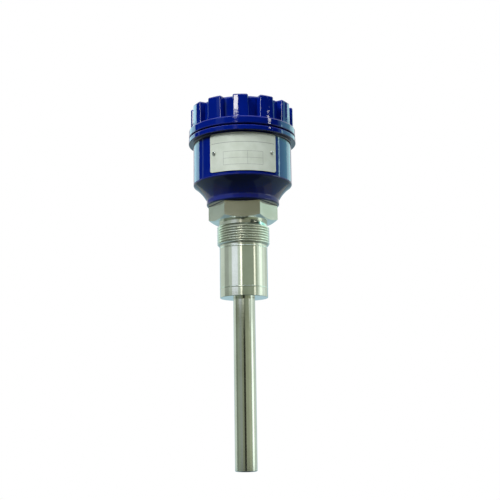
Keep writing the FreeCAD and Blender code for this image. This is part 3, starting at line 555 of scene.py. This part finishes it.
def above_thread(angle):
    flat = hexagon_radius(angle)
    rise = max(flat - HEX_HALF, 0) * math.tan(HEX_BEVEL)
    return [
        (RELIEF_RADIUS, RELIEF_LOW),
        (RELIEF_RADIUS, 0),
        (HEX_HALF - HEX_EDGE, 0),
        (flat, rise + HEX_EDGE * 0.5),
        (flat, HEX_BEVEL_RISE + HEX_EDGE),
        (flat, HEX_TOP - HEX_EDGE),
        (flat - HEX_EDGE, HEX_TOP),
        (NECK_RADIUS, HEX_TOP),
        (NECK_RADIUS, GROOVE_LOW),
        (GROOVE_FLOOR, GROOVE_LOW),
        (GROOVE_FLOOR, GROOVE_HIGH),
        (NECK_RADIUS, GROOVE_HIGH),
        (NECK_RADIUS, neck_top - NECK_CHAMFER),
        (NECK_RADIUS - NECK_CHAMFER, neck_top),
        (NECK_BORE, neck_top),
        (NECK_BORE, BORE_STEP),
        (SENSOR_BORE, BORE_STEP),
    ]


print("rows in a column:", len(below_thread()) + THREAD_ROWS + len(above_thread(0)))

# %% Steel with painted shade in its thread roots
def threaded(shade):
    """Turned steel with a freshly cut, brighter thread, and painted shade that darkens its roots."""
    look = turned(shade, rgb(0.62, 0.65, 0.58), rgb(0.50, 0.53, 0.44), 0.10, 0.012 * MM)
    depth = (THREAD_CREST - from_axis(shade)) / THREAD_DEPTH
    cut = within(place(shade).part("Z"), THREAD_LOW, THREAD_HIGH)
    # Painted shade: the deeper a point lies in a thread root, the darker its colour is made.
    painted_root_shade = depth.between(0.4, 1.0) * cut
    bright = (cut * 0.7).blend(look["Base Color"], rgb(0.88, 0.90, 0.78))
    # The thread roots are painted darker here, to stand for the shade in them.
    look["Base Color"] = (painted_root_shade * 0.5).blend(bright, rgb(0.12, 0.13, 0.10))
    look["Roughness"] = look["Roughness"] + cut * 0.13 + painted_root_shade * 0.1
    return look


threaded_steel = finish("threaded_steel", threaded, {"Metallic": 1.0})
print("finish made:", threaded_steel.name)

# %% From a mesh to a piece that rides on a body
def new_piece(name, mesh, material, body, sharp=30):
    """A piece with smooth faces, apart from the edges that turn by more than sharp degrees."""
    piece = bpy.data.objects.new(name, mesh)
    bpy.context.scene.collection.objects.link(piece)
    mesh.materials.append(material)
    mesh.polygons.foreach_set("use_smooth", [True] * len(mesh.polygons))
    mesh.set_sharp_from_angle(angle=math.radians(sharp))
    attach(piece, body)
    return piece


# %% A closed net of columns
WELD_POINTS = 0.002 * MM
LEAST_EDGE = 0.001 * MM


def woven(columns, shifts=None):
    """Each column's points join the next column's, and the last column's join the first's.

    shifts gives, for each row of the last column, the row of the first one that it meets.
    """
    net = bmesh.new()
    grid = [[net.verts.new(point) for point in column] for column in columns]
    rows = len(grid[0])
    for i, column in enumerate(grid):
        wrap = i == len(grid) - 1
        other = grid[0] if wrap else grid[i + 1]
        for k in range(rows):
            m = (k + 1) % rows
            here = [column[k], column[m]]
            there = [other[shifts[m]], other[shifts[k]]] if wrap and shifts else [other[m], other[k]]
            corners = list(dict.fromkeys(here + there))
            if len(corners) > 2:
                net.faces.new(corners)
    bmesh.ops.remove_doubles(net, verts=net.verts, dist=WELD_POINTS)
    bmesh.ops.dissolve_degenerate(net, dist=LEAST_EDGE, edges=net.edges)
    bmesh.ops.recalc_face_normals(net, faces=net.faces)
    mesh = bpy.data.meshes.new("net")
    net.to_mesh(mesh)
    net.free()
    return mesh


# %% Weave the process connection
FITTING_SHARP = 28.5


def fitting_columns():
    columns = []
    for i in range(COLUMNS):
        angle = 2 * math.pi * i / COLUMNS
        rows = below_thread() + thread_rows(i) + above_thread(angle)
        turn = angle + HEX_TURN
        columns.append([(r * math.cos(turn), r * math.sin(turn), z) for r, z in rows])
    return columns


def wrap_shifts():
    """Where each row of the last column meets the first: the thread has climbed by one pitch."""
    start = len(below_thread())
    end = start + THREAD_ROWS
    total = end + len(above_thread(0))
    shifts = list(range(total))
    for k in range(start, end):
        shifts[k] = min(k + THREAD_STEPS, end - 1)
    return shifts


fitting_mesh = woven(fitting_columns(), wrap_shifts())
fitting = new_piece("process_fitting", fitting_mesh, threaded_steel, "instrument", FITTING_SHARP)
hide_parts("process_connection")
print("process fitting:", len(fitting.data.polygons), "faces")

# %% [markdown]
# ## Weld beads
#
# The tube is welded to the fitting above it and to the sensor head below it. Such a weld is run by a
# machine while the part turns, so the bead is narrow and even, with fine ripples where the puddle froze
# again and again. Each bead is a closed ring, woven from arched sections whose height ripples as the
# angle goes round. Its foot is sunk a little into the tube, because a real bead has melted into it.

# %% Arched rings with ripples
BEAD_WIDTH = 1.5 * MM
BEAD_RISE = 0.08 * MM
BEAD_FOOT = 0.15 * MM
BEAD_RIPPLE = 0.10
BEAD_RIPPLES = 120
BEAD_COLUMNS = 720
BEAD_ARCH = 8
BEAD_SHARP = 40


def bead_section(angle, z):
    ripple = 1 + BEAD_RIPPLE * math.sin(BEAD_RIPPLES * angle)
    turn = (math.cos(angle), math.sin(angle))
    points = []
    for k in range(BEAD_ARCH + 1):
        along = math.pi * k / BEAD_ARCH
        r = tube_radius - BEAD_FOOT + (BEAD_RISE * ripple + BEAD_FOOT) * math.sin(along)
        points.append((r * turn[0], r * turn[1], z - BEAD_WIDTH / 2 * math.cos(along)))
    return points


def weld_bead(name, z):
    columns = [bead_section(2 * math.pi * k / BEAD_COLUMNS, z) for k in range(BEAD_COLUMNS)]
    bead = new_piece(name, woven(columns), turned_steel, "instrument", BEAD_SHARP)
    print(name, "at", round(z / MM, 1), "mm:", len(bead.data.polygons), "faces")


weld_bead("weld_bead_upper", weld_z)
weld_bead("weld_bead_lower", tube_low[2])

# %% [markdown]
# ## The lid's thread
#
# The lid screws down on a thread with a pitch of 2 mm. The frame keeps both sides smooth, with three
# tenths of a millimetre between them, so the teeth go on here: a low ridge that winds round the lid's
# skirt, and another inside the housing's mouth, half a pitch away. One function winds both. A ridge
# fades out at each end, as a cutter leaves it, and stands clear of the other ridge at every turn,
# because lid and thread climb together.

# %% Low ridges wound round the lid's skirt and the housing's mouth
LID_PITCH = 2.0 * MM
RIDGE_RISE = 0.24 * MM
RIDGE_FOOT = 0.03 * MM
RIDGE_BASE = 0.95 * MM
RIDGE_TOP = 0.35 * MM
RIDGE_STEPS = 120
RIDGE_FADE = 0.4
MOUTH_RADIUS = 41.25 * MM
MOUTH_GAP = 0.3 * MM
SKIRT_RADIUS = MOUTH_RADIUS - MOUTH_GAP
LID_RIDGE_START = 1.6 * MM
LID_RIDGE_TURNS = 3.2
HOUSING_RIDGE_START = LID_RIDGE_START - LID_PITCH / 2
HOUSING_RIDGE_TURNS = 3.5


def ridge_columns(radius, outward, z_start, turns):
    """Sections along the helix; outward is 1 for a ridge on a shaft and -1 for one in a bore."""
    columns = []
    count = round(turns * RIDGE_STEPS)
    for k in range(count + 1):
        turn = k / RIDGE_STEPS
        grown = min(turn / RIDGE_FADE, (turns - turn) / RIDGE_FADE, 1)
        angle = 2 * math.pi * turn
        z = z_start + turn * LID_PITCH
        foot = radius - outward * RIDGE_FOOT
        crest = radius + outward * (RIDGE_RISE * grown - RIDGE_FOOT * (1 - grown))
        section = [
            (foot, z - RIDGE_BASE / 2),
            (crest, z - RIDGE_TOP / 2),
            (crest, z + RIDGE_TOP / 2),
            (foot, z + RIDGE_BASE / 2),
        ]
        columns.append([(r * math.cos(angle), r * math.sin(angle), h) for r, h in section])
    return columns


def wound(columns):
    """A closed strip: sections joined along the helix, and a face over each end."""
    strip = bmesh.new()
    grid = [[strip.verts.new(point) for point in column] for column in columns]
    for here, there in zip(grid, grid[1:]):
        for k in range(len(here)):
            m = (k + 1) % len(here)
            strip.faces.new((here[k], here[m], there[m], there[k]))
    strip.faces.new(grid[0])
    strip.faces.new(reversed(grid[-1]))
    bmesh.ops.recalc_face_normals(strip, faces=strip.faces)
    mesh = bpy.data.meshes.new("strip")
    strip.to_mesh(mesh)
    strip.free()
    return mesh


# %% Wind both ridges in bare aluminium
TOOL_LINE_SIZE = 1.5 * MM
TOOL_LINE_STRETCH = (0.2, 0.2, 20)
BARE_CLOUD_SIZE = 6 * MM
BARE_RELIEF = 0.01 * MM


def bare(shade):
    lines = grain(shade, TOOL_LINE_SIZE, 2.0, TOOL_LINE_STRETCH)
    cloud = grain(shade, BARE_CLOUD_SIZE, 2.0)
    return {
        "Base Color": cloud.between(0.3, 0.7).blend(rgb(0.66, 0.67, 0.67), rgb(0.54, 0.55, 0.55)),
        "Roughness": 0.24 + lines * 0.14,
        "Normal": bump(shade, lines, BARE_RELIEF),
    }


bare_aluminium = finish("bare_aluminium", bare, {"Metallic": 1.0})


def ridge(name, body, radius, outward, z_start, turns):
    mesh = wound(ridge_columns(radius, outward, z_start, turns))
    made = new_piece(name, mesh, bare_aluminium, body)
    print(name, "turns:", turns, "faces:", len(made.data.polygons))


ridge("lid_thread", "screw_lid", SKIRT_RADIUS, 1, lid_foot + LID_RIDGE_START, LID_RIDGE_TURNS)
ridge("housing_thread", "instrument", MOUTH_RADIUS, -1, lid_foot + HOUSING_RIDGE_START, HOUSING_RIDGE_TURNS)

# %% [markdown]
# ## The studio's light
#
# The photograph is a cut-out on white, so the world is white for every ray that comes straight from
# the camera, and also for reflections and for light through glass. Only the light that falls on matt
# surfaces is turned down, to leave room for the lamps. It comes from above, as from a studio's ceiling,
# so that what faces the floor stays dark.

# %% A white world
scene = bpy.context.scene
scene.view_settings.view_transform = "Standard"
SKY_TOP = 0.5
SKY_BELOW = 0.02
SKY_RISE = (-0.05, 0.7)


def white_world():
    """White to the eye and in mirrors; for matt surfaces a soft sky, bright above and dark below."""
    world = bpy.data.worlds.new("white_studio")
    world.use_nodes = True
    tree = world.node_tree
    background = tree.nodes["Background"]
    background.inputs["Color"].default_value = rgb(1, 1, 1)
    light = Value(tree)
    seen = light.node("ShaderNodeLightPath", output="Is Camera Ray")
    mirrored = light.node("ShaderNodeLightPath", output="Is Glossy Ray")
    through = light.node("ShaderNodeLightPath", output="Is Transmission Ray")
    direct = seen.math("MAXIMUM", mirrored).math("MAXIMUM", through)
    height = light.node("ShaderNodeTexCoord", output="Generated").part("Z")
    sky = height.between(*SKY_RISE) * (SKY_TOP - SKY_BELOW) + SKY_BELOW
    tree.links.new((direct + (1 - direct) * sky).socket, background.inputs["Strength"])
    scene.world = world
    print("world:", world.name, "with", len(tree.nodes), "nodes")


white_world()

# %% [markdown]
# ## Cards for the steel and the enamel
#
# Polished steel is a mirror: it shows its surroundings and little else. So cards stand round the object,
# as a product photographer sets them: bright ones that draw long streaks, and dark ones that give the
# metal its contrast. They are seen only in reflections, and cast no light and no shadow.
#
# The camera looks up at the object, so each upright wall mirrors what stands somewhat higher than
# itself. The cards come in zones, one above the other, and each zone serves one stretch of the object:
# the lid, the body, the hexagon, the tube, the rod. Round the circle the law of mirrors doubles angles:
# a wall that faces 20 degrees to the side mirrors the card at 40 degrees. Under the object lie flat
# cards, for the flare of the housing and for every view from above.

# %% What a card is
CARD_DISTANCE = 1.1
CARD_STEP = 4
VIEW_TURN = -1.3


def glow(name, colour):
    material = bpy.data.materials.new(name)
    material.use_nodes = True
    tree = material.node_tree
    tree.nodes.remove(tree.nodes["Principled BSDF"])
    shine = Value(tree).node("ShaderNodeEmission", None, {"Color": rgb(*colour), "Strength": 1.0})
    tree.links.new(shine.socket, tree.nodes["Material Output"].inputs["Surface"])
    return material


def studio_piece(name, points, faces, material):
    mesh = bpy.data.meshes.new(name)
    mesh.from_pydata(points, [], faces)
    mesh.materials.append(material)
    made = bpy.data.objects.new(name, mesh)
    scene.collection.objects.link(made)
    return made


def only_mirrored(piece):
    piece.visible_camera = False
    piece.visible_diffuse = False
    piece.visible_shadow = False
    piece.visible_volume_scatter = False


def card(name, left, right, rims, colour):
    """A strip from angle left to angle right; rims are the radius and height of its two long edges.

    Angles are degrees round the object, counted from the camera, and right is positive.
    """
    steps = max(1, round((right - left) / CARD_STEP))
    points, faces = [], []
    for k in range(steps + 1):
        angle = math.radians(left + (right - left) * k / steps + VIEW_TURN)
        points += [(r * math.sin(angle), -r * math.cos(angle), z) for r, z in rims]
        if k:
            faces.append((2 * k - 2, 2 * k, 2 * k + 1, 2 * k - 1))
    only_mirrored(studio_piece(name, points, faces, glow(name, colour)))


def cards(zone, rims, start, rows):
    """Cards edge to edge; each row gives the angle where its card ends, its strength and its tint."""
    left = start
    for right, strength, tint in rows:
        card(f"card_{zone}_{left}", left, right, rims, [strength * c for c in tint])
        left = right
    print("cards in the zone", zone + ":", len(rows))


def upright(low, high, distance=CARD_DISTANCE):
    return [(distance, low), (distance, high)]


# %% Upright cards, zone by zone
COOL = (0.62, 1.0, 0.97)
SEA = (0.42, 1.0, 0.97)
SKY_BLUE = (0.72, 0.88, 1.0)
PALE_BLUE = (0.62, 0.88, 1.0)
SILVER = (0.95, 1.0, 1.12)
PALE = (0.90, 1.0, 0.92)
FERN = (0.84, 1.0, 0.90)
LEAF = (0.86, 1.0, 0.80)
OLIVE = (0.93, 1.0, 0.72)
KHAKI = (1.12, 1.0, 0.66)
WARM = (1.0, 0.97, 0.86)
LEFT_END = -150
CEILING_ZONE = (0.86, 1.20)
ABOVE_ZONE = (0.56, 0.86)
LID_ZONE = (0.447, 0.56)
BODY_ZONE = (0.31, 0.447)
HEXAGON_ZONE = (0.215, 0.31)
TUBE_ZONE = (0.064, 0.215)
ROD_TOP_ZONE = (0.015, 0.064)
ROD_ZONE = (-0.30, 0.015)
BACK_ZONE = (-0.30, 0.20)
FLOOR_Z = -1.20
GROUND_Z = FLOOR_Z + 0.02
CARD_OVERLAP = 0.005
BELOW_ZONE = (GROUND_Z - CARD_OVERLAP, -0.30)

cards("ceiling", upright(*CEILING_ZONE), -75, [(75, 5.0, SKY_BLUE)])
cards("above", upright(*ABOVE_ZONE), LEFT_END, [
    (-100, 1.6, PALE), (-60, 0.1, PALE), (60, 0.05, PALE), (100, 0.1, PALE), (150, 1.6, PALE),
])
cards("lid", upright(*LID_ZONE), LEFT_END, [
    (-121, 4.2, COOL), (-56, 0.02, COOL), (-37, 0.4, COOL), (84, 0.015, COOL), (112, 1.0, SEA),
    (121, 0.1, COOL), (150, 3.6, COOL),
])
cards("body", upright(*BODY_ZONE), LEFT_END, [
    (-118, 2.6, COOL), (-56, 0.03, COOL), (-37, 0.25, COOL), (82, 0.02, COOL), (90, 0.5, SEA),
    (125, 1.5, SEA), (150, 2.4, COOL),
])
cards("hexagon", upright(*HEXAGON_ZONE), LEFT_END, [
    (-104, 0.40, PALE), (-30, 0.50, PALE), (50, 0.19, KHAKI), (100, 0.6, LEAF), (150, 0.84, FERN),
])
cards("tube", upright(*TUBE_ZONE), LEFT_END, [
    (-104, 0.85, PALE), (-76, 0.50, PALE), (-58, 0.72, PALE), (-28, 1.2, SILVER), (-15, 0.85, PALE),
    (-8, 2.5, WARM), (50, 0.42, LEAF), (57, 1.9, WARM), (69, 0.55, LEAF), (80, 1.0, PALE),
    (98, 1.7, PALE), (122, 1.1, PALE), (150, 0.8, PALE),
])
cards("rod_top", upright(*ROD_TOP_ZONE), LEFT_END, [
    (-104, 0.9, PALE), (-80, 0.20, OLIVE), (20, 0.24, OLIVE), (50, 0.36, OLIVE), (75, 0.8, PALE),
    (98, 1.2, PALE), (150, 0.85, PALE),
])
cards("rod", upright(*ROD_ZONE), LEFT_END, [
    (-104, 0.9, PALE), (-80, 0.30, LEAF), (-56, 0.42, LEAF), (-30, 0.40, PALE), (-12, 0.33, OLIVE),
    (8, 0.04, OLIVE), (40, 0.44, OLIVE), (66, 0.55, OLIVE), (75, 0.6, PALE), (98, 1.95, PALE),
    (150, 0.85, PALE),
])
cards("back", upright(*BACK_ZONE), 150, [(210, 0.75, PALE_BLUE)])
cards("below", upright(*BELOW_ZONE), -210, [
    (-150, 0.7, PALE_BLUE), (-104, 0.5, PALE_BLUE), (-70, 0.3, PALE), (-50, 0.20, PALE), (50, 0.10, PALE),
    (75, 0.20, PALE), (104, 0.45, PALE), (150, 0.55, PALE_BLUE),
])

# %% Small bright cards for the glints on the enamel
GLINT_DISTANCE = 1.08
WALL_GLINT = (0.28, 0.42)
GLINTS = [
    ("middle_lug", -18, -8, LID_ZONE, 20.0, WARM),
    ("flange", -16, -10, (0.425, 0.447), 2.0, WARM),
    ("rim", 57, 63, (0.420, 0.438), 14.0, WARM),
    ("body_left", -105, -101, WALL_GLINT, 0.6, COOL),
    ("body_right", 92, 95, WALL_GLINT, 6.0, COOL),
]
for part, left, right, heights, strength, tint in GLINTS:
    card("glint_" + part, left, right, upright(*heights, GLINT_DISTANCE), [strength * c for c in tint])
print("glints:", len(GLINTS))


# %% Flat cards under the object
def disc(name, radius, z, material, sides=64):
    turns = [2 * math.pi * k / sides for k in range(sides)]
    points = [(radius * math.cos(turn), radius * math.sin(turn), z) for turn in turns]
    return studio_piece(name, points, [list(range(sides))], material)


DISC_RADIUS = 0.5
DISC_Z = GROUND_Z + 0.01
DISC_COLOUR = (0.07, 0.10, 0.10)
only_mirrored(disc("card_below", DISC_RADIUS, DISC_Z, glow("card_below", DISC_COLOUR)))
cards("ground", [(DISC_RADIUS, GROUND_Z), (CARD_DISTANCE, GROUND_Z)], -50, [
    (50, 0.12, PALE_BLUE), (110, 0.30, PALE_BLUE), (250, 0.45, PALE_BLUE), (310, 0.30, PALE_BLUE),
])

# %% [markdown]
# ## The floor
#
# The floor is a pale matt disc far below, because the instrument is held by its thread. It is lit by the
# lamps, keeps the object's soft shadow, and throws no light back at matt surfaces. To the camera, part
# of its light is plain white already, and further out all of it is, so that it meets the white world
# without an edge.

# %% A pale floor that turns white further out
FLOOR_RADIUS = 6.0
WHITE_FROM = 0.5
WHITE_BY = 2.2
WHITE_LEAST = 0.6


def pale_floor(shade):
    cloud = grain(shade, 300 * MM, 2.0)
    return {
        "Base Color": cloud.blend(rgb(0.90, 0.90, 0.90), rgb(0.92, 0.92, 0.92)),
        "Roughness": 0.6 + cloud * 0.1,
    }


def white_to_camera(material):
    """Mix plain white into what the camera sees: a share of it near the middle, all of it far out."""
    tree = material.node_tree
    light = Value(tree)
    seen = light.node("ShaderNodeLightPath", output="Is Camera Ray")
    white = light.node("ShaderNodeEmission", None, {"Color": rgb(1, 1, 1), "Strength": 1.0})
    lit = Value(tree, tree.nodes["Principled BSDF"].outputs[0])
    far = from_axis(light).between(WHITE_FROM, WHITE_BY)
    share = seen * (far * (1 - WHITE_LEAST) + WHITE_LEAST)
    mixed = light.node("ShaderNodeMixShader", None, {0: share, 1: lit, 2: white})
    tree.links.new(mixed.socket, tree.nodes["Material Output"].inputs["Surface"])
    return material


floor = disc("floor", FLOOR_RADIUS, FLOOR_Z, white_to_camera(finish("pale_floor", pale_floor)))
floor.visible_diffuse = False
print("floor at", FLOOR_Z, "m")

# %% [markdown]
# ## Lamps and camera
#
# Three soft lamps light what is matt: the main one high on the left, one on the right that fills its
# shadows, and a weak one overhead. They are hidden from reflections, because the cards do that work.
# The camera stands low and looks slightly up, with a lens of about 64 mm, and leans by less than a
# degree, as the photographer's did. It stands a little to the side of the object's front, and one turn
# round the axis takes its place and its aim there together.

# %% Soft lamps
def softbox(name, position, size, power):
    lamp = bpy.data.lights.new(name, "AREA")
    lamp.shape = "RECTANGLE"
    lamp.size, lamp.size_y = size
    lamp.energy = power
    made = bpy.data.objects.new(name, lamp)
    scene.collection.objects.link(made)
    made.location = position
    made.rotation_euler = (-Vector(position)).to_track_quat("-Z", "Y").to_euler()
    made.visible_glossy = False
    print(name, "with", power, "W")


softbox("key_lamp", (-0.90, -0.71, 1.11), (0.45, 0.45), 22.5)
softbox("fill_lamp", (0.9, -0.72, 1.0), (0.7, 0.7), 10.0)
softbox("top_lamp", (-0.15, -0.35, 1.35), (0.7, 0.5), 4.0)

# %% Camera at the photographer's place
CAMERA_PLACE = (0.0059, -0.802, -0.1681)
CAMERA_RISE = math.radians(10.1)
CAMERA_LEAN = math.radians(0.8)
CAMERA_LENS = 64.15
SENSOR_WIDTH = 36.0
camera_data = bpy.data.cameras.new("camera")
camera_data.sensor_width = SENSOR_WIDTH
camera_data.lens = CAMERA_LENS
camera = bpy.data.objects.new("camera", camera_data)
scene.collection.objects.link(camera)
look = Matrix.Rotation(math.pi / 2 + CAMERA_RISE, 4, "X") @ Matrix.Rotation(-CAMERA_LEAN, 4, "Z")
round_object = Matrix.Rotation(math.radians(VIEW_TURN), 4, "Z")
camera.matrix_world = round_object @ Matrix.Translation(CAMERA_PLACE) @ look
scene.camera = camera
print("camera at", [round(value, 3) for value in camera.matrix_world.translation])

# %% [markdown]
